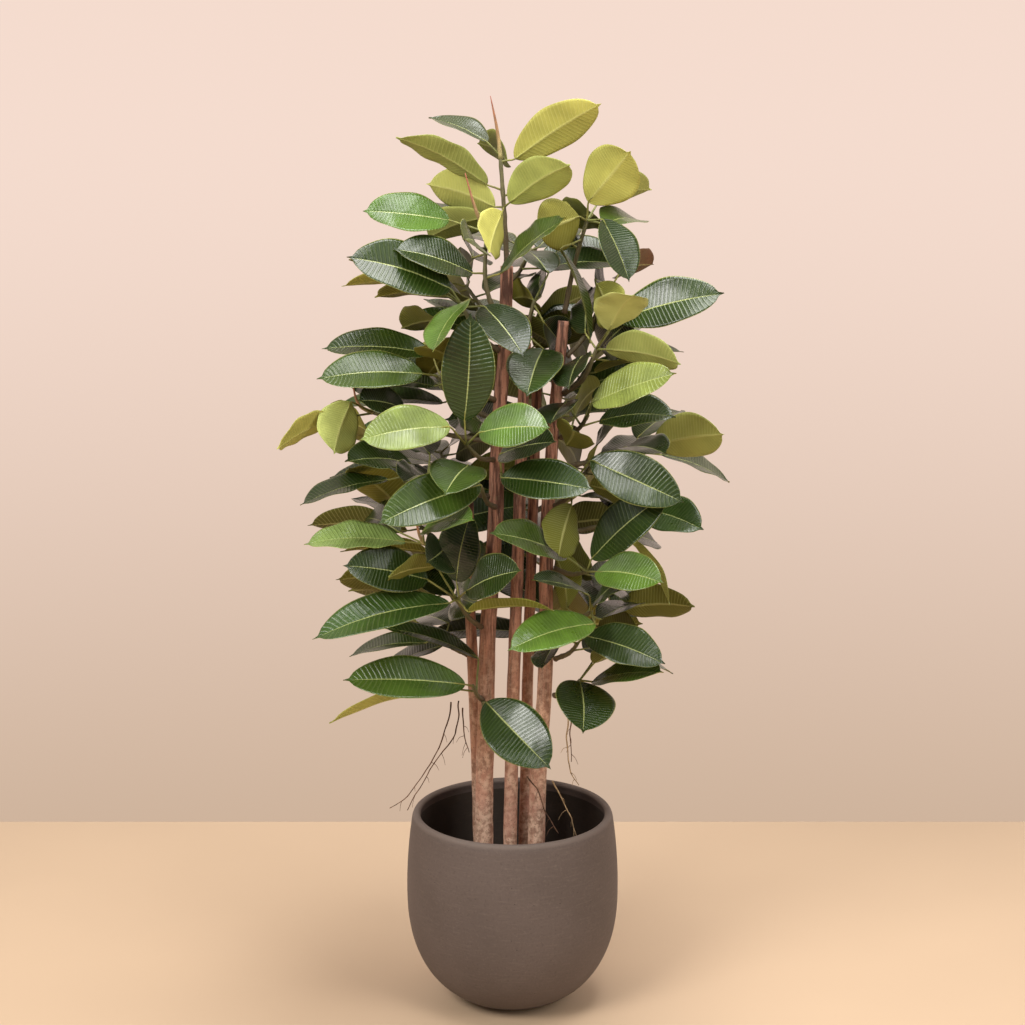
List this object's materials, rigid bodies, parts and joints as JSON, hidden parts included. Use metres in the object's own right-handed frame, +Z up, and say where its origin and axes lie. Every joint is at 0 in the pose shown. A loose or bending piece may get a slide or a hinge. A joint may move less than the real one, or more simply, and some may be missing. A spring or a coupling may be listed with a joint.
{
  "type": "potted rubber plant",
  "caption": "Tall multi-stemmed rubber plant with broad glossy leaves on side shoots, standing in soil in a round-bellied matte planter.",
  "frame": {"origin": "centre of the planter's foot, on the surface it stands on", "axes": "+Z up along the planter's axis, -Y towards the front"},
  "size_m": [0.818, 0.6663, 1.7002],
  "materials": {
    "planter_clay": "matte taupe-grey fibreclay with faint mottling and pinholes",
    "soil": "dark crumbly potting soil",
    "bark": "rough reddish-tan bark with pale flakes",
    "leaf": "waxy glossy dark green above, matte olive-yellow below, pale midribs",
    "air_root": "thin dry brown roots"
  },
  "bodies": {
    "root": {"air_root_brown": "air_root", "air_root_left_inner": "air_root", "air_root_left_outer": "air_root", "air_root_left_short": "air_root", "air_root_pale": "air_root", "air_root_right_inner": "air_root", "air_root_right_outer": "air_root", "planter": "planter_clay", "shoot_back": "leaf", "shoot_back_left": "leaf", "shoot_back_low": "leaf", "shoot_back_low_left": "leaf", "shoot_back_low_right": "leaf", "shoot_back_middle": "leaf", "shoot_back_middle_left": "leaf", "shoot_back_middle_right": "leaf", "shoot_back_top": "leaf", "shoot_back_top_left": "leaf", "shoot_back_upper": "leaf", "shoot_back_upper_left": "leaf", "shoot_back_upper_right": "leaf", "shoot_centre_front": "leaf", "shoot_centre_top": "leaf", "shoot_crown_right": "leaf", "shoot_far_left": "leaf", "shoot_far_right": "leaf", "shoot_left": "leaf", "shoot_left_front": "leaf", "shoot_left_light": "leaf", "shoot_left_shoulder": "leaf", "shoot_left_upright": "leaf", "shoot_low_back_left": "leaf", "shoot_low_front": "leaf", "shoot_low_left": "leaf", "shoot_low_right": "leaf", "shoot_lower_right": "leaf", "shoot_lowest_left": "leaf", "shoot_lowest_right": "leaf", "shoot_right": "leaf", "shoot_right_bright": "leaf", "shoot_right_light": "leaf", "shoot_right_outer": "leaf", "shoot_right_shoulder": "leaf", "shoot_right_upper": "leaf", "shoot_top": "leaf", "shoot_top_left": "leaf", "shoot_upper_left": "leaf", "soil": "soil", "stem_back_left": "bark", "stem_back_right": "bark", "stem_centre": "bark", "stem_left": "bark", "stem_right": "bark"}
  },
  "joints": []
}
